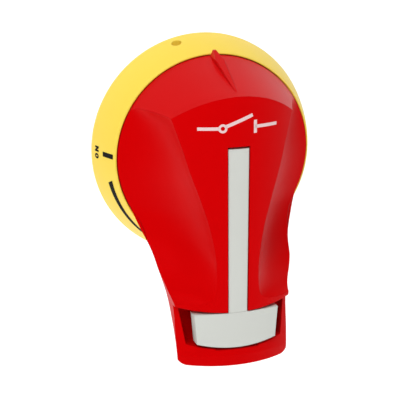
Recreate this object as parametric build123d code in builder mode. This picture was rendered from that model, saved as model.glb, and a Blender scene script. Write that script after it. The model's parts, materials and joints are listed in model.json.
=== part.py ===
from build123d import *
import os
from math import cos, radians, sin, sqrt

# Door-mounted padlockable rotary handle of an isolator switch.
#
# Frame: the origin is the centre of the door face that the handle is bolted to, +Y runs back
# through the door along the switch shaft, +X is to the right and +Z is up, seen from the front.
# The lever hangs down in the OFF position. Units are millimetres. "Height" is the distance that a
# point stands forward of the door, which is -Y.

# ---------------------------------------------------------------- driving dimensions
BEZEL_RADIUS = 39.0
BEZEL_BACK = 0.4  # the bosses and the gasket stand this far proud of the bezel's rim
BEZEL_EDGE = 1.6  # top of the upright edge at the door
BEZEL_LIP_RADIUS = 34.55
BEZEL_LIP_HEIGHT = 15.2
BEZEL_BULGE = 0.35  # how far the flank bows out of a straight cone
SKIRT_RADIUS = 34.4
MOUTH_RADIUS = 34.15
FLOOR_BACK = 8.0
FLOOR_FRONT = 10.3
TUBE_RADIUS = 15.3
TUBE_BACK = 1.0
GASKET_INNER = 35.3
GASKET_OUTER = 37.3
GASKET_FRONT = 2.4

ROTOR_RADIUS = 33.85
ROTOR_BACK = 11.3
SPLIT_HEIGHT = 14.3  # back plate behind, cover in front
RIM_HEIGHT = 15.7
CROWN_HEIGHT = 42.0
CROWN_RADIUS = 35.0
CROWN_CENTRE = CROWN_HEIGHT - CROWN_RADIUS
CONE_TOP_RADIUS = 25.3  # rotor flank radius at the crown's height
WALL = 2.4
FLOOR_WALL = SPLIT_HEIGHT - ROTOR_BACK

LEVER_END = 67.05  # hub axis to the lever's tip
TIP_SIDE_Z = -62.2  # where the tip's rounded corners leave the sides
TIP_CORNER_Z = -66.75  # and where they meet its nearly straight end
TIP_CORNER_X = 16.8
COVER_END = 48.3  # hub axis to the cover's lower edge
COVER_END_RADIUS = 110.0
TAIL_SPLIT_Z = -46.0
TAIL_SPLIT_HEIGHT = 30.5
FRAME_DROP = 2.6  # the end frame's front lies this far behind the crown at the cover's edge
FRAME_FLUSH = 66.0  # and meets the crown this far from the hub axis
POCKET_FLOOR = 30.6
WEB_WELL_FLOOR = 26.2
WEB_WELL_HALF = 7.5
POCKET_HALF_TOP = 18.5
POCKET_HALF_BOTTOM = 16.8
POCKET_CORNER = 59.6
POCKET_BOTTOM = 61.5

POINTER_TIP = 35.9  # hub axis to the point of the moulded arrow

SLOT_TOP = 8.55
SLOT_GAP = 0.28
SLOT_FLOOR = 35.6
STEM_HALF_TOP = 3.6
STEM_HALF_LOW = 3.25
STEM_TOP = 7.8
STEM_BACK = 37.4
TAB_DROP = 0.45  # the tab's front lies this far behind the crown
HEAD_DROP = 0.35  # the head's front lies this far behind the crown's front line
HEAD_TOP = 48.55
HEAD_CORNER = 59.0
HEAD_BOTTOM = 60.8
HEAD_HALF_TOP = 14.8
HEAD_HALF_BOTTOM = 13.85
HEAD_CURVE = 60.0  # the head's front is flatter than the crown
HEAD_BACK = 35.8
TOE_HALF = 2.6
TOE_TOP = 23.0
TOE_BACK = 33.25
TOE_FRONT = 36.2
WEB_HALF = 2.8
WEB_TOP = 49.0
WEB_BOTTOM = 60.2
WEB_BACK = 26.8
SHACKLE_RADIUS = 3.6
SHACKLE_Z = -54.6
SHACKLE_HEIGHT = 31.9
PIVOT_Z = 4.0
PIVOT_HEIGHT = 38.6
PIVOT_RADIUS = 1.25
PIVOT_HALF_LENGTH = 7.4

PLUNGER_Z = 21.0
PLUNGER_RADIUS = 2.5
PLUNGER_BACK = 11.6
PLUNGER_FRONT = 32.95
COLLAR_RADIUS = 4.0
COLLAR_BACK = 25.0
COLLAR_THICKNESS = 1.6
GUIDE_RADIUS = 4.4
GUIDE_FRONT = 19.0

HUB_RADIUS = 12.0
HUB_BACK = -5.0
HUB_FLANGE_SIDE = 27.0
HUB_FLANGE_FRONT = 17.2
BUSH_RADIUS = 13.4
BUSH_FLANGE_RADIUS = 17.8
BUSH_FLANGE_FRONT = 11.2
SHAFT_SQUARE = 10.2
SOCKET_FLOOR = 10.0
SEAL_RADIUS = 0.65
SEAL_HEIGHT = 6.0
CIRCLIP_INNER = 10.9
CIRCLIP_OUTER = 13.9
CIRCLIP_BACK = -1.15
CIRCLIP_FRONT = -0.15
WASHER_OUTER = 15.2
WASHER_FRONT = 0.85

FIXING_X = 14.0
FIXING_Z = 20.0
BOSS_RADIUS = 4.4
INSERT_RADIUS = 2.8
INSERT_LENGTH = 6.0
THREAD_RADIUS = 1.65

HUB_SCREW_RADIUS = 15.5  # from the axis
TAIL_SCREW_X = 12.5
TAIL_SCREW_Z = -40.5

STOP_RADIUS = 30.4  # from the axis
STOP_PEG = 1.5
STOP_SLOT = 3.6

RELEASE_ANGLE = 105.0
RELEASE_HEIGHT = 5.2
RELEASE_RADIUS = 1.7
CATCH_X = 5.0
CATCH_Z = 26.0
CATCH_BACK = 3.4
CATCH_FRONT = 6.8
CATCH_PIN = 1.5

RIM_SEAL_INNER = 32.5
RIM_SEAL_FRONT = 11.1
GRUB_RADIUS = 1.5
GRUB_HEIGHT = -3.2
GRUB_END = 11.4  # outer end of the grub screw, hub axis to its slot

RUNNING = 0.05  # running clearance on a radius

# ---------------------------------------------------------------- work planes
DOOR = Plane(origin=(0, 0, 0), x_dir=(1, 0, 0), z_dir=(0, -1, 0))  # draws (X, Z), normal forward
PROFILE = Plane(origin=(0, 0, 0), x_dir=(1, 0, 0), z_dir=(0, 0, -1))  # draws (radius, height)
SIDE = Plane(origin=(0, 0, 0), x_dir=(0, 0, 1), z_dir=(1, 0, 0))  # draws (Z, height)

FIXINGS = [(x, z) for x in (-FIXING_X, FIXING_X) for z in (-FIXING_Z, FIXING_Z)]
HUB_SCREWS = [
    (HUB_SCREW_RADIUS * cos(radians(a)), HUB_SCREW_RADIUS * sin(radians(a)))
    for a in (45, 135, 225, 315)
]
STOPS = [(STOP_RADIUS * cos(radians(a)), STOP_RADIUS * sin(radians(a))) for a in (315, 225)]
TAIL_SCREWS = [(-TAIL_SCREW_X, TAIL_SCREW_Z), (TAIL_SCREW_X, TAIL_SCREW_Z)]

# Cross-sections of the lever behind its crowned front. Its sides stand upright in front of the
# widest line (edge_x, edge_height) and lean inwards behind it.
# z, edge_x, edge_height, back
LEVER_STATIONS = [
    (5.0, 31.4, 16.2, 13.0),
    (0.0, 31.6, 16.2, 13.0),
    (-5.0, 31.6, 16.2, 13.1),
    (-10.0, 31.5, 16.4, 13.6),
    (-15.0, 30.45, 16.9, 14.6),
    (-20.0, 28.7, 18.0, 15.7),
    (-25.0, 26.9, 21.0, 16.7),
    (-30.0, 25.1, 24.8, 17.8),
    (-35.0, 23.65, 27.5, 19.1),
    (-40.0, 22.1, 28.2, 20.4),
    (-45.0, 20.5, 27.6, 21.8),
    (-50.0, 19.95, 29.7, 23.0),
    (-55.0, 19.85, 32.8, 24.0),
    (-60.0, 19.7, 34.9, 24.8),
    (-65.0, 19.4, 35.6, 25.4),
    (-70.0, 19.2, 36.2, 25.9),
    (-75.0, 19.0, 36.6, 26.3),
]
SIDE_LEAN = 0.36  # inward lean of the sides behind the widest line, per millimetre of height

# The finger hollow on each side of the lever: an arc from the crest of the crown to the outer
# edge, sunk below the straight line between them. It runs out of the surface at both ends.
# z, crest_x, crest_height, sink, edge_x, edge_height
HOLLOW_STATIONS = [
    (20.0, 21.4, 36.9, -0.8, 29.7, 13.6),
    (15.0, 20.1, 36.5, 3.0, 32.0, 14.3),
    (10.0, 18.6, 37.3, 4.6, 34.4, 14.8),
    (5.0, 17.1, 38.1, 5.1, 35.8, 14.95),
    (0.0, 15.6, 38.9, 5.3, 36.4, 15.0),
    (-5.0, 13.9, 39.7, 5.45, 36.0, 15.0),
    (-10.0, 12.2, 40.4, 5.6, 34.9, 15.0),
    (-15.0, 10.6, 41.0, 5.6, 33.6, 15.0),
    (-20.0, 9.2, 41.4, 5.4, 32.0, 16.0),
    (-25.0, 8.2, 41.6, 4.9, 30.1, 18.6),
    (-30.0, 7.4, 41.8, 3.9, 28.3, 22.2),
    (-35.0, 6.9, 41.9, 2.3, 26.6, 26.6),
    (-40.0, 6.6, 42.0, 0.9, 25.1, 29.0),
    (-45.0, 6.5, 42.4, -0.6, 24.4, 32.0),
    (-50.0, 6.4, 42.8, -2.0, 24.0, 35.5),
]


def station(z):
    """The cross-section plane of the lever at Z, which draws (X, height)."""
    return Plane(origin=(0, 0, z), x_dir=(1, 0, 0), z_dir=(0, 0, -1))


def cone_radius(height, inset=0.0):
    """Radius of the rotor's flank at a height."""
    slope = (ROTOR_RADIUS - CONE_TOP_RADIUS) / (CROWN_HEIGHT - RIM_HEIGHT)
    return ROTOR_RADIUS - slope * (height - RIM_HEIGHT) - inset


def sunk_middle(start, end, sink):
    """The middle point of an arc from start to end that is sunk below its chord."""
    run = end[0] - start[0]
    drop = start[1] - end[1]
    length = sqrt(run**2 + drop**2)
    middle_x = (start[0] + end[0]) / 2 - sink * drop / length
    middle_height = (start[1] + end[1]) / 2 - sink * run / length
    return middle_x, middle_height


def finish(builder, name):
    """Labels a finished piece and writes it as parts/NAME.step."""
    builder.part.label = name
    export_step(builder.part, f"parts/{name}.step")


def cylinders(points, radius, start, end, mode=Mode.ADD):
    """Round bars along the shaft direction at each (X, Z), from one height to another."""
    with BuildSketch(DOOR.offset(start)) as discs:
        with Locations(*points):
            Circle(radius)
    extrude(discs.sketch, amount=end - start, mode=mode)


def ring(inner, outer, start, end, mode=Mode.ADD):
    """A ring about the hub axis between two heights."""
    with BuildSketch(DOOR.offset(start)) as annulus:
        Circle(outer)
        if inner:
            Circle(inner, mode=Mode.SUBTRACT)
    extrude(annulus.sketch, amount=end - start, mode=mode)


def coil(radius, wire, pitch, length, center, direction):
    """A coil spring swept along a helix."""
    with BuildLine() as path:
        Helix(pitch=pitch, height=length, radius=radius, center=center, direction=direction)
    with BuildSketch(Plane(origin=path.line @ 0, z_dir=path.line % 0)) as section:
        Circle(wire)
    sweep(section.sketch, path=path.line, is_frenet=True)


# ---------------------------------------------------------------- the grip's outer shape
def lever_block(inset):
    """The lever from the hub to its tip, upright in front and open above the crown."""
    sections = []
    for z, edge_x, edge_height, back in LEVER_STATIONS:
        if inset and z < -55.0:
            continue
        half = edge_x - inset
        low = back + (FLOOR_WALL if inset else 0.0)
        high = max(edge_height, low + 0.6)
        back_half = half - SIDE_LEAN * (high - low)
        with BuildSketch(station(z)) as section:
            Polygon(
                (-half, 50),
                (half, 50),
                (half, high),
                (back_half, low),
                (-back_half, low),
                (-half, high),
                align=None,
            )
        sections.append(section.sketch)
    return loft(sections)


def hollow_cutter(inset):
    """What is cut away for the finger hollow on the right of the lever."""
    sections = []
    for z, crest_x, crest_height, sink, edge_x, edge_height in HOLLOW_STATIONS:
        crest = (crest_x - inset, crest_height)
        edge = (edge_x - inset, edge_height)
        with BuildSketch(station(z)) as section:
            with BuildLine():
                ThreePointArc(crest, sunk_middle(crest, edge, sink), edge)
                Polyline(edge, (52, edge[1] - 2), (52, 62), (crest[0] - 3, 62), crest)
            make_face()
        sections.append(section.sketch)
    return loft(sections)


def front_bar(radius, height):
    """A round bar along Z whose front line stands at a height."""
    with BuildPart() as bar:
        with BuildSketch(Plane.XY.offset(-80)):
            with Locations((0, radius - height)):
                Circle(radius)
        extrude(amount=130)
    return bar.part


def crown_bar(inset):
    """The bar whose front is the lever's crown, or a skin that far inside it."""
    return front_bar(CROWN_RADIUS - inset, CROWN_HEIGHT - inset)


def stem_outline(top, gap):
    """Draws the stem of the tab, which narrows towards its head, grown by a gap on each side."""
    Polygon(
        (-STEM_HALF_TOP - gap, top),
        (STEM_HALF_TOP + gap, top),
        (STEM_HALF_LOW + gap, -HEAD_TOP - 1.5),
        (-STEM_HALF_LOW - gap, -HEAD_TOP - 1.5),
        align=None,
    )


def frame_bar():
    """The round bar, tilted from the crown, whose front is the front of the end frame."""
    low_end = (0, -(CROWN_CENTRE - FRAME_DROP), -COVER_END)
    along = (0, -FRAME_DROP, COVER_END - FRAME_FLUSH)
    with BuildPart() as bar:
        with BuildSketch(Plane(origin=low_end, x_dir=(1, 0, 0), z_dir=along)):
            Circle(CROWN_RADIUS)
        extrude(amount=60, both=True)
    return bar.part


def tip_trim():
    """What is cut away around the lever's rounded tip."""
    with BuildPart() as trim:
        with BuildSketch(DOOR):
            with BuildLine():
                Polyline(
                    (-20, TIP_SIDE_Z),
                    (-40, TIP_SIDE_Z),
                    (-40, -90),
                    (40, -90),
                    (40, TIP_SIDE_Z),
                    (20, TIP_SIDE_Z),
                )
                ThreePointArc((20, TIP_SIDE_Z), (19.1, -65.6), (TIP_CORNER_X, TIP_CORNER_Z))
                ThreePointArc(
                    (TIP_CORNER_X, TIP_CORNER_Z), (0, -LEVER_END), (-TIP_CORNER_X, TIP_CORNER_Z)
                )
                ThreePointArc((-TIP_CORNER_X, TIP_CORNER_Z), (-19.1, -65.6), (-20, TIP_SIDE_Z))
            make_face()
        extrude(amount=60)
    return trim.part


def bulkhead():
    """What is kept solid at the lower end of the room inside the grip."""
    with BuildPart() as solid_end:
        with BuildSketch(DOOR):
            with Locations((0, -45.5)):
                Rectangle(200, 100, align=(Align.CENTER, Align.MAX))
        extrude(amount=60)
    return solid_end.part


def grip_volume(inset=0.0):
    """The grip as one block, or the room inside it when inset is the wall's thickness."""
    base = SPLIT_HEIGHT if inset else ROTOR_BACK
    cutter = hollow_cutter(inset)
    with BuildPart() as volume:
        with BuildSketch(PROFILE):
            Polygon(
                (0, base),
                (ROTOR_RADIUS - inset, base),
                (ROTOR_RADIUS - inset, RIM_HEIGHT),
                (cone_radius(48, inset), 48),
                (0, 48),
                align=None,
            )
        revolve(axis=Axis.Y)
    hollowed = volume.part + lever_block(inset) - cutter - cutter.mirror(Plane.YZ)
    crowned = hollowed & crown_bar(inset)
    return crowned - (bulkhead() if inset else tip_trim())


def end_zone():
    """The space below the cover's curved lower edge, where the end frame stands."""
    half = 30.0
    side = half**2 / (2 * COVER_END_RADIUS) - COVER_END
    with BuildPart() as zone:
        with BuildSketch(DOOR):
            with BuildLine():
                ThreePointArc((-half, side), (0, -COVER_END), (half, side))
                Polyline((half, side), (half, -80), (-half, -80), (-half, side))
            make_face()
        extrude(amount=60)
    return zone.part


def front_zone():
    """The space in front of the joint between the back plate and the cover."""
    with BuildPart() as zone:
        with BuildSketch(SIDE.offset(-60)):
            Polygon(
                (40, 60),
                (40, SPLIT_HEIGHT),
                (-14, SPLIT_HEIGHT),
                (TAIL_SPLIT_Z, TAIL_SPLIT_HEIGHT),
                (-50, TAIL_SPLIT_HEIGHT),
                (-50, 60),
                align=None,
            )
        extrude(amount=120)
    return zone.part


os.makedirs("parts", exist_ok=True)

outer = grip_volume()
inner = grip_volume(WALL)
below_cover = end_zone()
before_joint = front_zone()
above_end = outer - below_cover

# ---------------------------------------------------------------- grip cover
with BuildPart() as screw_posts:
    cylinders(HUB_SCREWS, 2.9, HUB_FLANGE_FRONT, 41)
    cylinders(TAIL_SCREWS, 2.6, 24.3, 41)

with BuildPart() as pointer:
    with BuildSketch(DOOR.offset(15.9)):
        with BuildLine():
            Polyline(
                (-0.45, POINTER_TIP),
                (-1.5, POINTER_TIP - 2.4),
                (-0.25, 25.3),
                (0.25, 25.3),
                (1.5, POINTER_TIP - 2.4),
                (0.45, POINTER_TIP),
                close=True,
            )
        make_face()
    extrude(amount=26)
    # trimmed to slope with the flank
    with BuildSketch(SIDE.offset(-5)):
        Polygon(
            (38, 14),
            (38, 45),
            (23.7, 45),
            (25.6, 40.6),
            (POINTER_TIP, 16.9),
            (POINTER_TIP, 14),
            align=None,
        )
    extrude(amount=10, mode=Mode.SUBTRACT)

with BuildPart() as grip_cover:
    add((above_end & before_joint) - inner)
    add(screw_posts.part & outer)
    # cheeks that carry the tab's pivot pin
    with BuildSketch(DOOR.offset(35.6)):
        with Locations((0, PIVOT_Z - 0.6)):
            Rectangle(16.8, 8.0)
    extrude(amount=4.9)
    # room for the tab's toe
    with BuildSketch(DOOR.offset(30)):
        with Locations((0, 12.0)):
            Rectangle(2 * TOE_HALF + 1.2, 23.6)
    extrude(amount=7, mode=Mode.SUBTRACT)
    # slot for the tab's stem, open at the lower edge
    with BuildSketch(DOOR.offset(SLOT_FLOOR)):
        stem_outline(SLOT_TOP, SLOT_GAP)
    extrude(amount=10, mode=Mode.SUBTRACT)
    with BuildSketch(SIDE.offset(-PIVOT_HALF_LENGTH)):
        with Locations((PIVOT_Z, PIVOT_HEIGHT)):
            Circle(PIVOT_RADIUS)
    extrude(amount=2 * PIVOT_HALF_LENGTH, mode=Mode.SUBTRACT)
    cylinders(HUB_SCREWS, 1.5, HUB_FLANGE_FRONT, 26.5, Mode.SUBTRACT)
    cylinders(TAIL_SCREWS, 1.3, 24.3, 34.0, Mode.SUBTRACT)
    add(pointer.part)
finish(grip_cover, "grip_cover")

# ---------------------------------------------------------------- grip back with the end frame
with BuildPart() as end_frame:
    add(outer & below_cover & frame_bar())
    with BuildSketch(DOOR.offset(POCKET_FLOOR)):
        with BuildLine():
            Polyline(
                (-POCKET_HALF_BOTTOM, -POCKET_CORNER),
                (-POCKET_HALF_TOP, -COVER_END),
                (-POCKET_HALF_TOP, -40),
                (POCKET_HALF_TOP, -40),
                (POCKET_HALF_TOP, -COVER_END),
                (POCKET_HALF_BOTTOM, -POCKET_CORNER),
            )
            ThreePointArc(
                (POCKET_HALF_BOTTOM, -POCKET_CORNER),
                (0, -POCKET_BOTTOM),
                (-POCKET_HALF_BOTTOM, -POCKET_CORNER),
            )
        make_face()
    extrude(amount=30, mode=Mode.SUBTRACT)
    with BuildSketch(DOOR.offset(WEB_WELL_FLOOR)):
        with Locations((0, -POCKET_BOTTOM)):
            Rectangle(2 * WEB_WELL_HALF, 22, align=(Align.CENTER, Align.MIN))
    extrude(amount=30, mode=Mode.SUBTRACT)

with BuildPart() as grip_back:
    add((above_end - before_joint) + end_frame.part - inner)
    ring(0, HUB_RADIUS + RUNNING, 5, 20, Mode.SUBTRACT)
    cylinders([(0, PLUNGER_Z)], GUIDE_RADIUS, SPLIT_HEIGHT - 1, GUIDE_FRONT)
    cylinders([(0, PLUNGER_Z)], PLUNGER_RADIUS + RUNNING, 5, GUIDE_FRONT, Mode.SUBTRACT)
    cylinders(HUB_SCREWS, 2.9, 5, 13.2, Mode.SUBTRACT)
    cylinders(HUB_SCREWS, 1.6, 5, 20, Mode.SUBTRACT)
    cylinders(TAIL_SCREWS, 2.6, 5, 22.0, Mode.SUBTRACT)
    cylinders(TAIL_SCREWS, 1.4, 5, 26, Mode.SUBTRACT)
    cylinders(STOPS[:1], STOP_PEG, 8.6, SPLIT_HEIGHT)
finish(grip_back, "grip_back")

# ---------------------------------------------------------------- screws in the grip
with BuildPart() as hub_screws:
    cylinders(HUB_SCREWS, 2.7, 11.4, 13.2)
    cylinders(HUB_SCREWS, 1.5, 13.2, 26.0)
    for x, z in HUB_SCREWS:
        with BuildSketch(DOOR.offset(11.4)):
            with Locations((x, z)):
                Rectangle(0.6, 3.2)
                Rectangle(3.2, 0.6)
        extrude(amount=1.0, mode=Mode.SUBTRACT)
finish(hub_screws, "hub_screws")

with BuildPart() as tail_screws:
    cylinders(TAIL_SCREWS, 2.4, 20.6, 22.0)
    cylinders(TAIL_SCREWS, 1.3, 22.0, 33.5)
    for x, z in TAIL_SCREWS:
        with BuildSketch(DOOR.offset(20.6)):
            with Locations((x, z)):
                Rectangle(0.6, 2.8)
                Rectangle(2.8, 0.6)
        extrude(amount=0.8, mode=Mode.SUBTRACT)
finish(tail_screws, "tail_screws")

# ---------------------------------------------------------------- padlock tab and its pivot pin
with BuildPart() as tab_stem:
    with BuildSketch(DOOR.offset(STEM_BACK)):
        stem_outline(STEM_TOP, 0.0)
    extrude(amount=10)

with BuildPart() as tab_head:
    with BuildSketch(DOOR.offset(HEAD_BACK)):
        with BuildLine():
            Polyline(
                (-HEAD_HALF_BOTTOM, -HEAD_CORNER),
                (-HEAD_HALF_TOP, -HEAD_TOP),
                (HEAD_HALF_TOP, -HEAD_TOP),
                (HEAD_HALF_BOTTOM, -HEAD_CORNER),
            )
            ThreePointArc(
                (HEAD_HALF_BOTTOM, -HEAD_CORNER),
                (0, -HEAD_BOTTOM),
                (-HEAD_HALF_BOTTOM, -HEAD_CORNER),
            )
        make_face()
    extrude(amount=10)

with BuildPart() as padlock_tab:
    add(tab_stem.part & crown_bar(TAB_DROP))
    add(tab_head.part & front_bar(HEAD_CURVE, CROWN_HEIGHT - HEAD_DROP))
    # block around the pivot and the toe that pushes the plunger
    with BuildSketch(SIDE.offset(-TOE_HALF)):
        Polygon(
            (-1.0, 38.5),
            (-1.0, TOE_BACK + 1.0),
            (0.0, TOE_BACK),
            (TOE_TOP, TOE_BACK),
            (TOE_TOP, TOE_FRONT - 1.2),
            (TOE_TOP - 1.2, TOE_FRONT),
            (5.8, TOE_FRONT),
            (5.0, 38.5),
            align=None,
        )
    extrude(amount=2 * TOE_HALF)
    # web behind the head, with the hole for the padlock's shackle
    with BuildSketch(SIDE.offset(-WEB_HALF)):
        Polygon(
            (-WEB_TOP, 37.0),
            (-WEB_TOP, WEB_BACK + 1.5),
            (-WEB_TOP - 1.5, WEB_BACK),
            (-WEB_BOTTOM + 1.5, WEB_BACK),
            (-WEB_BOTTOM, WEB_BACK + 1.5),
            (-WEB_BOTTOM, 37.0),
            align=None,
        )
    extrude(amount=2 * WEB_HALF)
    with BuildSketch(SIDE.offset(-20)):
        with Locations((SHACKLE_Z, SHACKLE_HEIGHT)):
            Circle(SHACKLE_RADIUS)
        with Locations((PIVOT_Z, PIVOT_HEIGHT)):
            Circle(PIVOT_RADIUS + RUNNING)
    extrude(amount=40, mode=Mode.SUBTRACT)
finish(padlock_tab, "padlock_tab")

with BuildPart() as tab_pin:
    with BuildSketch(SIDE.offset(-PIVOT_HALF_LENGTH)):
        with Locations((PIVOT_Z, PIVOT_HEIGHT)):
            Circle(PIVOT_RADIUS)
    extrude(amount=2 * PIVOT_HALF_LENGTH)
finish(tab_pin, "tab_pin")

# ---------------------------------------------------------------- lock plunger and its spring
with BuildPart() as lock_plunger:
    with BuildSketch(PROFILE):
        Polygon(
            (0, PLUNGER_BACK),
            (PLUNGER_RADIUS - 0.6, PLUNGER_BACK),
            (PLUNGER_RADIUS, PLUNGER_BACK + 0.6),
            (PLUNGER_RADIUS, COLLAR_BACK),
            (COLLAR_RADIUS, COLLAR_BACK),
            (COLLAR_RADIUS, COLLAR_BACK + COLLAR_THICKNESS),
            (PLUNGER_RADIUS, COLLAR_BACK + COLLAR_THICKNESS),
            (PLUNGER_RADIUS, PLUNGER_FRONT - 0.5),
            (PLUNGER_RADIUS - 0.5, PLUNGER_FRONT),
            (0, PLUNGER_FRONT),
            align=None,
        )
    revolve(axis=Axis.Y)
lock_plunger.part.position = (0, 0, PLUNGER_Z)
finish(lock_plunger, "lock_plunger")

with BuildPart() as plunger_spring:
    coil(3.2, 0.3, 1.35, 5.4, (0, -GUIDE_FRONT - 0.3, PLUNGER_Z), (0, -1, 0))
finish(plunger_spring, "plunger_spring")

# ---------------------------------------------------------------- hub, seal, washer and circlip
with BuildPart() as shaft_hub:
    ring(0, HUB_RADIUS, HUB_BACK, SPLIT_HEIGHT)
    with BuildSketch(DOOR.offset(SPLIT_HEIGHT)):
        RectangleRounded(HUB_FLANGE_SIDE, HUB_FLANGE_SIDE, 3.5)
    extrude(amount=HUB_FLANGE_FRONT - SPLIT_HEIGHT)
    cylinders(HUB_SCREWS, 1.6, SPLIT_HEIGHT, HUB_FLANGE_FRONT, Mode.SUBTRACT)
    ring(0, 7.0, 12.8, HUB_FLANGE_FRONT, Mode.SUBTRACT)
    with BuildSketch(DOOR.offset(HUB_BACK)):
        Rectangle(SHAFT_SQUARE, SHAFT_SQUARE)
    extrude(amount=SOCKET_FLOOR - HUB_BACK, mode=Mode.SUBTRACT)
    seal_low = SEAL_HEIGHT - SEAL_RADIUS
    ring(HUB_RADIUS - 2 * SEAL_RADIUS, 13, seal_low, SEAL_HEIGHT + SEAL_RADIUS, Mode.SUBTRACT)
    ring(CIRCLIP_INNER, 13, CIRCLIP_BACK, CIRCLIP_FRONT, Mode.SUBTRACT)
    with BuildSketch(SIDE.offset(SHAFT_SQUARE / 2 - 1)):
        with Locations((0, GRUB_HEIGHT)):
            Circle(GRUB_RADIUS)
    extrude(amount=10, mode=Mode.SUBTRACT)
finish(shaft_hub, "shaft_hub")

with BuildPart() as shaft_screw:
    with BuildSketch(SIDE.offset(SHAFT_SQUARE / 2 + 0.1)):
        with Locations((0, GRUB_HEIGHT)):
            Circle(GRUB_RADIUS)
    extrude(amount=GRUB_END - SHAFT_SQUARE / 2 - 0.1)
    with BuildSketch(SIDE.offset(GRUB_END - 1.2)):
        with Locations((0, GRUB_HEIGHT)):
            RegularPolygon(0.85, 6)
    extrude(amount=2, mode=Mode.SUBTRACT)
finish(shaft_screw, "shaft_screw")

with BuildPart() as hub_seal:
    with BuildSketch(PROFILE):
        with Locations((HUB_RADIUS - SEAL_RADIUS, SEAL_HEIGHT)):
            Circle(SEAL_RADIUS)
    revolve(axis=Axis.Y)
finish(hub_seal, "hub_seal")

with BuildPart() as hub_washer:
    ring(HUB_RADIUS, WASHER_OUTER, CIRCLIP_FRONT, WASHER_FRONT)
finish(hub_washer, "hub_washer")

with BuildPart() as hub_circlip:
    ring(CIRCLIP_INNER, CIRCLIP_OUTER, CIRCLIP_BACK, CIRCLIP_FRONT)
    with BuildSketch(DOOR.offset(CIRCLIP_BACK)):
        Polygon((0, 0), (5.5, 16), (-5.5, 16), align=None)
    extrude(amount=CIRCLIP_FRONT - CIRCLIP_BACK, mode=Mode.SUBTRACT)
finish(hub_circlip, "hub_circlip")

with BuildPart() as hub_bush:
    ring(HUB_RADIUS + RUNNING, BUSH_RADIUS, TUBE_BACK, FLOOR_FRONT)
    ring(HUB_RADIUS + RUNNING, BUSH_FLANGE_RADIUS, FLOOR_FRONT, BUSH_FLANGE_FRONT)
finish(hub_bush, "hub_bush")

# ---------------------------------------------------------------- bezel
flank_middle = (
    (BEZEL_RADIUS + BEZEL_LIP_RADIUS) / 2 + BEZEL_BULGE,
    (BEZEL_EDGE + BEZEL_LIP_HEIGHT) / 2,
)
with BuildPart() as bezel:
    with BuildSketch(PROFILE):
        with BuildLine():
            Polyline(
                (BEZEL_LIP_RADIUS, BEZEL_LIP_HEIGHT),
                (MOUTH_RADIUS, BEZEL_LIP_HEIGHT),
                (MOUTH_RADIUS, FLOOR_FRONT),
                (BUSH_RADIUS, FLOOR_FRONT),
                (BUSH_RADIUS, TUBE_BACK),
                (TUBE_RADIUS, TUBE_BACK),
                (TUBE_RADIUS, FLOOR_BACK),
                (SKIRT_RADIUS, FLOOR_BACK),
                (SKIRT_RADIUS, BEZEL_BACK),
                (BEZEL_RADIUS, BEZEL_BACK),
                (BEZEL_RADIUS, BEZEL_EDGE),
            )
            ThreePointArc(
                (BEZEL_RADIUS, BEZEL_EDGE), flank_middle, (BEZEL_LIP_RADIUS, BEZEL_LIP_HEIGHT)
            )
        make_face()
    revolve(axis=Axis.Y)
    ring(GASKET_INNER, GASKET_OUTER, BEZEL_BACK, GASKET_FRONT, Mode.SUBTRACT)
    cylinders(FIXINGS, BOSS_RADIUS, 0, FLOOR_BACK + 1)
    cylinders(FIXINGS, INSERT_RADIUS, 0, INSERT_LENGTH, Mode.SUBTRACT)
    # stiffening ribs between the tube and the skirt
    rib_centre = (TUBE_RADIUS + SKIRT_RADIUS) / 2
    with BuildSketch(DOOR.offset(3.0)):
        for angle in (20, 160, 200, 340):
            with Locations((rib_centre * cos(radians(angle)), rib_centre * sin(radians(angle)))):
                Rectangle(SKIRT_RADIUS - TUBE_RADIUS + 0.8, 1.6, rotation=angle)
    extrude(amount=FLOOR_BACK - 2.5)
    # boss for the catch and the ledge for its spring
    cylinders([(CATCH_X, CATCH_Z)], 3.2, CATCH_FRONT + 0.1, FLOOR_BACK + 1)
    with BuildSketch(DOOR.offset(CATCH_BACK)):
        with Locations((-6.0, 23.4)):
            Rectangle(4.0, 1.6)
    extrude(amount=FLOOR_BACK + 1 - CATCH_BACK)
    cylinders([(CATCH_X, CATCH_Z)], CATCH_PIN, 5, 9.6, Mode.SUBTRACT)
    # plunger holes: straight above the axis for OFF, to its right for ON
    cylinders([(0, PLUNGER_Z), (PLUNGER_Z, 0)], PLUNGER_RADIUS + 0.3, 5, 12, Mode.SUBTRACT)
    # quarter-turn slot for the stop peg
    with BuildSketch(DOOR.offset(5)):
        Circle(STOP_RADIUS + STOP_SLOT / 2)
        Circle(STOP_RADIUS - STOP_SLOT / 2, mode=Mode.SUBTRACT)
        Polygon((0, 0), (50, -50), (50, 50), (-50, 50), (-50, -50), align=None, mode=Mode.SUBTRACT)
        with Locations(*STOPS):
            Circle(STOP_SLOT / 2)
    extrude(amount=7, mode=Mode.SUBTRACT)
    # release hole through the flank
    aim = radians(RELEASE_ANGLE)
    release_axis = Plane(
        origin=(28 * cos(aim), -RELEASE_HEIGHT, 28 * sin(aim)), z_dir=(cos(aim), 0, sin(aim))
    )
    with BuildSketch(release_axis):
        Circle(RELEASE_RADIUS)
    extrude(amount=14, mode=Mode.SUBTRACT)
finish(bezel, "bezel")

with BuildPart() as rim_seal:
    ring(RIM_SEAL_INNER, MOUTH_RADIUS, FLOOR_FRONT, RIM_SEAL_FRONT)
finish(rim_seal, "rim_seal")

with BuildPart() as door_gasket:
    ring(GASKET_INNER, GASKET_OUTER, 0, GASKET_FRONT)
finish(door_gasket, "door_gasket")

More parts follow.
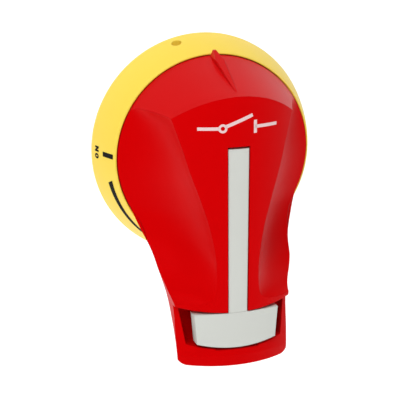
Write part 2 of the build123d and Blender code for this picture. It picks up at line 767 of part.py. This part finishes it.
with BuildPart() as fixing_inserts:
    cylinders(FIXINGS, INSERT_RADIUS, 0, INSERT_LENGTH)
    for x, z in FIXINGS:
        with BuildSketch(DOOR.offset(2.6)):
            with Locations((x, z)):
                Circle(INSERT_RADIUS + 0.1)
                Circle(INSERT_RADIUS - 0.4, mode=Mode.SUBTRACT)
        extrude(amount=0.8, mode=Mode.SUBTRACT)
    cylinders(FIXINGS, THREAD_RADIUS, 0, INSERT_LENGTH, Mode.SUBTRACT)
finish(fixing_inserts, "fixing_inserts")

# ---------------------------------------------------------------- release catch behind the bezel
with BuildPart() as release_catch:
    with BuildSketch(DOOR.offset(CATCH_BACK)):
        with Locations((CATCH_X, CATCH_Z)):
            Circle(3.4)
        with Locations((-8.5, 30.5)):
            Circle(2.0)
        make_hull()
    extrude(amount=CATCH_FRONT - CATCH_BACK)
    with BuildSketch(DOOR.offset(CATCH_BACK)):
        with Locations((CATCH_X, CATCH_Z)):
            Circle(3.0)
        with Locations((2.4, 18.2)):
            Circle(1.5)
        make_hull()
    extrude(amount=CATCH_FRONT - CATCH_BACK)
    cylinders([(CATCH_X, CATCH_Z)], CATCH_PIN + RUNNING, 0, 10, Mode.SUBTRACT)
finish(release_catch, "release_catch")

with BuildPart() as catch_screw:
    cylinders([(CATCH_X, CATCH_Z)], 3.0, 1.9, CATCH_BACK - 0.1)
    cylinders([(CATCH_X, CATCH_Z)], CATCH_PIN, CATCH_BACK - 0.1, 9.5)
    with BuildSketch(DOOR.offset(1.9)):
        with Locations((CATCH_X, CATCH_Z)):
            Rectangle(7, 0.8)
    extrude(amount=0.7, mode=Mode.SUBTRACT)
finish(catch_screw, "catch_screw")

with BuildPart() as catch_spring:
    coil(1.3, 0.2, 0.7, 1.9, (-6.0, -5.1, 24.45), (0, 0, 1))
finish(catch_spring, "catch_spring")
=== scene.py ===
import json
import math

import bpy
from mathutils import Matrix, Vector
from mathutils.bvhtree import BVHTree


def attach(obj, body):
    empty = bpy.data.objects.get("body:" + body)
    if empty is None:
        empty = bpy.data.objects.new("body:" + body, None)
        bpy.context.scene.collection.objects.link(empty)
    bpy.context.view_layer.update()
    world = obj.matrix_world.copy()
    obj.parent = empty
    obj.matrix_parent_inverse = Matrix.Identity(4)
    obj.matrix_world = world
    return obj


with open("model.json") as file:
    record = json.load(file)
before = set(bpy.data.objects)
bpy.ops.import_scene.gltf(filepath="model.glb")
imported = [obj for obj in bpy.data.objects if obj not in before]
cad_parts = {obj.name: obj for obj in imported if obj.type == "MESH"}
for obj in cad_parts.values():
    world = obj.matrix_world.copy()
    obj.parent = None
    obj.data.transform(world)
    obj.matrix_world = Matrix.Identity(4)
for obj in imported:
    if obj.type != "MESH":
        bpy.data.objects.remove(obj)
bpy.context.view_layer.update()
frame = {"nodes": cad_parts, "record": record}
nodes = frame["nodes"]

MM = 0.001
WHITE = (1.0, 1.0, 1.0)
FINE_SCALE = 900.0  # noise cells per metre of the moulded texture
BROAD_SCALE = 38.0  # noise cells per metre of the mottling and the uneven gloss
INK_THICKNESS = 0.05 * MM
WORD_RADIUS = 37.8  # radius of the bezel's flank at the printed words, millimetres
DEGREES_PER_MM = math.degrees(1 / WORD_RADIUS)


# ---------------------------------------------------------------- materials
def material(name, colour, roughness, uneven=0.05, metallic=0.0, bump=0.02, bevel=0.25, specular=0.5,
             highlight=WHITE, grain=None):
    """A procedural finish: slight colour mottling, uneven gloss, fine surface texture, soft edges."""
    mottle = 0.03
    mat = bpy.data.materials.new(name)
    mat.use_nodes = True
    tree = mat.node_tree
    tree.nodes.clear()
    make = tree.nodes.new
    link = tree.links.new
    out = make("ShaderNodeOutputMaterial")
    bsdf = make("ShaderNodeBsdfPrincipled")
    link(bsdf.outputs["BSDF"], out.inputs["Surface"])
    bsdf.inputs["Metallic"].default_value = metallic
    bsdf.inputs["Specular IOR Level"].default_value = specular
    bsdf.inputs["Specular Tint"].default_value = (*highlight, 1)
    coords = make("ShaderNodeTexCoord")
    mapping = make("ShaderNodeMapping")
    if grain:
        mapping.inputs["Scale"].default_value = grain
    link(coords.outputs["Object"], mapping.inputs["Vector"])
    fine = make("ShaderNodeTexNoise")
    fine.inputs["Scale"].default_value = FINE_SCALE
    fine.inputs["Detail"].default_value = 4.0
    fine.inputs["Roughness"].default_value = 0.55
    link(mapping.outputs["Vector"], fine.inputs["Vector"])
    broad = make("ShaderNodeTexNoise")
    broad.inputs["Scale"].default_value = BROAD_SCALE
    broad.inputs["Detail"].default_value = 3.0
    link(mapping.outputs["Vector"], broad.inputs["Vector"])
    gloss = make("ShaderNodeMapRange")
    gloss.inputs["To Min"].default_value = roughness - uneven
    gloss.inputs["To Max"].default_value = roughness + uneven
    link(broad.outputs["Fac"], gloss.inputs["Value"])
    link(gloss.outputs["Result"], bsdf.inputs["Roughness"])
    tint = make("ShaderNodeMix")
    tint.data_type = "RGBA"
    tint.inputs["A"].default_value = (*[c * (1 - mottle) for c in colour], 1)
    tint.inputs["B"].default_value = (*[min(1.0, c * (1 + mottle)) for c in colour], 1)
    link(broad.outputs["Fac"], tint.inputs["Factor"])
    link(tint.outputs["Result"], bsdf.inputs["Base Color"])
    edge = make("ShaderNodeBevel")
    edge.samples = 4
    edge.inputs["Radius"].default_value = bevel * MM
    relief = make("ShaderNodeBump")
    relief.inputs["Strength"].default_value = bump
    relief.inputs["Distance"].default_value = 0.0002
    link(fine.outputs["Fac"], relief.inputs["Height"])
    link(edge.outputs["Normal"], relief.inputs["Normal"])
    link(relief.outputs["Normal"], bsdf.inputs["Normal"])
    return mat


FINISHES = {
    "red_plastic": material("red_moulded", (0.63, 0.0004, 0.0012), 0.38, 0.04, bump=0.03, bevel=0.45,
                            specular=0.13, highlight=(1.0, 0.02, 0.025)),
    "yellow_plastic": material("yellow_moulded", (0.98, 0.71, 0.085), 0.42, 0.04, bump=0.03, bevel=0.35,
                               specular=0.35, highlight=(1.0, 0.85, 0.25)),
    "grey_plastic": material("grey_moulded", (0.63, 0.645, 0.60), 0.48, 0.04, bump=0.03, bevel=0.3),
    "black_plastic": material("black_moulded", (0.018, 0.018, 0.019), 0.45, 0.06, bump=0.05),
    "seal_rubber": material("seal_rubber", (0.013, 0.013, 0.013), 0.78, 0.08, bump=0.12, specular=0.3),
    "zinc_steel": material("zinc_plated_steel", (0.66, 0.67, 0.66), 0.30, 0.08, metallic=1.0, bump=0.04,
                           bevel=0.12, grain=(1, 6, 1)),
    "spring_steel": material("spring_wire", (0.42, 0.42, 0.43), 0.28, 0.06, metallic=1.0, bevel=0.05,
                             grain=(1, 1, 5)),
    "brass": material("turned_brass", (0.78, 0.52, 0.18), 0.27, 0.08, metallic=1.0, bump=0.05, bevel=0.1,
                      grain=(1, 8, 1)),
}
SLOT_OF = {piece["node"]: piece["material_slot"] for piece in frame["record"]["subparts"]}
for name, node in nodes.items():
    finish = FINISHES[SLOT_OF[name]]
    if not node.material_slots:
        node.data.materials.append(finish)
    for material_slot in node.material_slots:
        material_slot.material = finish

INK = material("printed_black", (0.006, 0.005, 0.004), 0.6, 0.05, bump=0.0, bevel=0.02, specular=0.08)
PALE_INK = material("printed_pale", (0.84, 0.60, 0.60), 0.5, 0.05, bump=0.0, bevel=0.02)

# ---------------------------------------------------------------- printed marks
def surface_of(node):
    """A tree for finding points on a CAD node's surface, in the row frame."""
    mesh = node.data
    points = [node.matrix_world @ v.co for v in mesh.vertices]
    return BVHTree.FromPolygons(points, [tuple(p.vertices) for p in mesh.polygons])


BEZEL_SKIN = surface_of(nodes["bezel"])
COVER_SKIN = surface_of(nodes["grip_cover"])


def on_flank(angle, height):
    """The point on the bezel's flank at an angle (degrees from +X, towards +Z) and a height."""
    a = math.radians(angle)
    out = Vector((math.cos(a), 0, math.sin(a)))
    outside = out * (60 * MM) + Vector((0, -height * MM, 0))
    hit, normal, _, _ = BEZEL_SKIN.ray_cast(outside, -out)
    return hit + normal * INK_THICKNESS


def on_crown(x, z):
    """The point on the front of the grip's cover at (x, z)."""
    outside = Vector((x * MM, -80 * MM, z * MM))
    hit, normal, _, _ = COVER_SKIN.ray_cast(outside, Vector((0, 1, 0)))
    return hit + normal * INK_THICKNESS


def strip(place, left, right, steps, across=2):
    """Faces between two edges, each a function of 0..1 that gives (u, v); place puts (u, v) on a skin."""
    points, faces = [], []
    for i in range(steps + 1):
        t = i / steps
        a, b = left(t), right(t)
        for j in range(across + 1):
            s = j / across
            points.append(place(a[0] + (b[0] - a[0]) * s, a[1] + (b[1] - a[1]) * s))
    row = across + 1
    for i in range(steps):
        for j in range(across):
            first = i * row + j
            faces.append((first, first + 1, first + row + 1, first + row))
    return points, faces


def bar(place, start, end, width, steps=8, squash=1.0):
    """A straight stroke from start to end. squash is how many u units are as long as one v unit."""
    du, dv = (end[0] - start[0]) / squash, end[1] - start[1]
    length = math.hypot(du, dv)
    nu, nv = -dv / length * width / 2 * squash, du / length * width / 2

    def edge(sign):
        def at(t):
            u = start[0] + (end[0] - start[0]) * t
            v = start[1] + (end[1] - start[1]) * t
            return u + sign * nu, v + sign * nv

        return at

    return strip(place, edge(-1), edge(1), steps)


def loop(place, centre, radius_u, radius_v, width, squash=1.0, steps=40):
    """A closed ring stroke."""

    def edge(grow):
        def at(t):
            a = 2 * math.pi * t
            return (
                centre[0] + (radius_u + grow) * squash * math.cos(a),
                centre[1] + (radius_v + grow) * math.sin(a),
            )

        return at

    return strip(place, edge(-width / 2), edge(width / 2), steps)


def printed(name, strokes, ink, body):
    """One object from several strokes, riding on a body."""
    points, faces = [], []
    for stroke_points, stroke_faces in strokes:
        shift = len(points)
        points += stroke_points
        faces += [tuple(i + shift for i in face) for face in stroke_faces]
    mesh = bpy.data.meshes.new(name)
    mesh.from_pydata(points, [], faces)
    mesh.materials.append(ink)
    for polygon in mesh.polygons:
        polygon.use_smooth = True
    obj = bpy.data.objects.new(name, mesh)
    bpy.context.scene.collection.objects.link(obj)
    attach(obj, body)
    return obj


def letters(word, angle):
    """Strokes for a word on the flank, read upwards at 9 o'clock, with the letters' tops to the door."""
    foot, tall, wide, gap, stroke = 6.0, 2.3, 1.9, 0.55, 0.68
    strokes = []
    total = len(word) * wide + (len(word) - 1) * gap

    def put(u, v):
        return on_flank(angle + (total / 2 - u) * DEGREES_PER_MM, foot - v)

    for i, letter in enumerate(word):
        x0 = i * (wide + gap) + stroke / 2
        x1 = i * (wide + gap) + wide - stroke / 2
        low, high = stroke / 2, tall - stroke / 2
        if letter == "O":
            strokes.append(loop(put, ((x0 + x1) / 2, tall / 2), (x1 - x0) / 2, (high - low) / 2, stroke))
        if letter == "N":
            strokes.append(bar(put, (x0, 0), (x0, tall), stroke))
            strokes.append(bar(put, (x1, 0), (x1, tall), stroke))
            strokes.append(bar(put, (x0, high), (x1, low), stroke))
        if letter == "F":
            strokes.append(bar(put, (x0, 0), (x0, tall), stroke))
            strokes.append(bar(put, (x0, high), (x1 + stroke / 2, high), stroke))
            strokes.append(bar(put, (x0, tall * 0.53), (x1, tall * 0.53), stroke))
    return strokes


printed("mark_on_word", letters("ON", 178.9), INK, "base")
on_bar = bar(on_flank, (178.6, 8.5), (178.4, 14.0), 1.75, squash=DEGREES_PER_MM)
printed("mark_on_bar", [on_bar], INK, "base")
printed("mark_off_word", letters("OFF", 270.0), INK, "base")
off_ring = loop(on_flank, (270.0, 11.2), 1.7, 1.7, 0.6, squash=DEGREES_PER_MM)
printed("mark_off_ring", [off_ring], INK, "base")



def sweep_edge(side):
    """One edge of the tapering turn mark: side is -1 towards the door and +1 towards the lip."""
    start_angle = 193.2 - 0.8 * side
    end_angle = 262.4

    def at(t):
        middle = 11.0 + 0.9 * t - 1.6 * t * t
        half_width = 1.2 - 0.85 * t
        return start_angle + (end_angle - start_angle) * t, middle + side * half_width

    return at


turn_sweep = strip(on_flank, sweep_edge(-1), sweep_edge(1), 70, 3)
printed("mark_turn_sweep", [turn_sweep], INK, "base")

# a plain circuit symbol for an isolator where the front carries its print
printed(
    "mark_switch_symbol",
    [
        bar(on_crown, (-13.6, 15.0), (-6.8, 15.0), 1.1, 10),
        loop(on_crown, (-5.6, 15.0), 1.1, 1.1, 0.8),
        bar(on_crown, (-4.6, 15.6), (4.6, 19.0), 1.15, 12),
        bar(on_crown, (5.6, 12.8), (5.6, 17.2), 1.1, 6),
        bar(on_crown, (5.6, 15.0), (13.8, 15.0), 1.1, 10),
    ],
    PALE_INK,
    "handle",
)


# ---------------------------------------------------------------- stage, light and camera
def plane_material(name, colour, glow):
    mat = bpy.data.materials.new(name)
    mat.use_nodes = True
    bsdf = mat.node_tree.nodes["Principled BSDF"]
    bsdf.inputs["Base Color"].default_value = (*colour, 1)
    bsdf.inputs["Roughness"].default_value = 0.9
    bsdf.inputs["Specular IOR Level"].default_value = 0.1
    bsdf.inputs["Emission Color"].default_value = (*WHITE, 1)
    bsdf.inputs["Emission Strength"].default_value = glow
    return mat


def sweep_floor():
    """A seamless pale floor that curves up into the backdrop."""
    reach, floor_z, curve_start, curve_radius, curve_steps = 3.0, -0.30, 0.35, 0.5, 12
    profile = [(-reach, floor_z), (curve_start, floor_z)]
    for i in range(1, curve_steps + 1):
        a = math.radians(90 * i / curve_steps)
        y = curve_start + curve_radius * math.sin(a)
        z = floor_z + curve_radius * (1 - math.cos(a))
        profile.append((y, z))
    profile.append((curve_start + curve_radius, reach))
    points = [(x, y, z) for y, z in profile for x in (-reach, reach)]
    faces = [(2 * i, 2 * i + 1, 2 * i + 3, 2 * i + 2) for i in range(len(profile) - 1)]
    mesh = bpy.data.meshes.new("studio_floor")
    mesh.from_pydata(points, [], faces)
    mesh.materials.append(plane_material("studio_paper", (0.86, 0.86, 0.86), 0.46))
    for polygon in mesh.polygons:
        polygon.use_smooth = True
    obj = bpy.data.objects.new("studio_floor", mesh)
    bpy.context.scene.collection.objects.link(obj)


def softbox(name, place, target, width, height, power):
    """A rectangular area light aimed at a point."""
    light = bpy.data.lights.new(name, "AREA")
    light.shape = "RECTANGLE"
    light.size = width
    light.size_y = height
    light.energy = power
    obj = bpy.data.objects.new(name, light)
    obj.location = place
    obj.rotation_mode = "QUATERNION"
    obj.rotation_quaternion = (Vector(target) - Vector(place)).to_track_quat("-Z", "Y")
    bpy.context.scene.collection.objects.link(obj)
    return obj


sweep_floor()
LIT_POINT = (0, 0, -0.02)
softbox("key_light", (-0.55, -0.75, 0.95), LIT_POINT, 0.7, 0.6, 9.0)
softbox("front_fill", (0.75, -1.1, 0.15), LIT_POINT, 0.9, 0.9, 0.9)
softbox("top_light", (0.1, -0.25, 1.1), LIT_POINT, 0.8, 0.5, 2.6)

world = bpy.data.worlds.new("studio_air")
world.use_nodes = True
world.node_tree.nodes["Background"].inputs["Color"].default_value = (*WHITE, 1)
world.node_tree.nodes["Background"].inputs["Strength"].default_value = 0.26
bpy.context.scene.world = world
bpy.context.scene.view_settings.view_transform = "Standard"
bpy.context.scene.view_settings.look = "None"

azimuth, elevation, distance = math.radians(-18.2), math.radians(14.38), 0.600
toward_camera = Vector(
    (
        math.sin(azimuth) * math.cos(elevation),
        -math.cos(azimuth) * math.cos(elevation),
        math.sin(elevation),
    )
)
camera_data = bpy.data.cameras.new("camera")
camera_data.sensor_width = 36.0
camera_data.lens = 154.68
camera_data.shift_x = 0.002
camera_data.shift_y = -0.14475
camera_data.clip_start = 0.01
camera_data.clip_end = 20.0
camera = bpy.data.objects.new("camera", camera_data)
camera.location = toward_camera * distance
camera.rotation_mode = "QUATERNION"
camera.rotation_quaternion = (-toward_camera).to_track_quat("-Z", "Y")
bpy.context.scene.collection.objects.link(camera)
bpy.context.scene.camera = camera
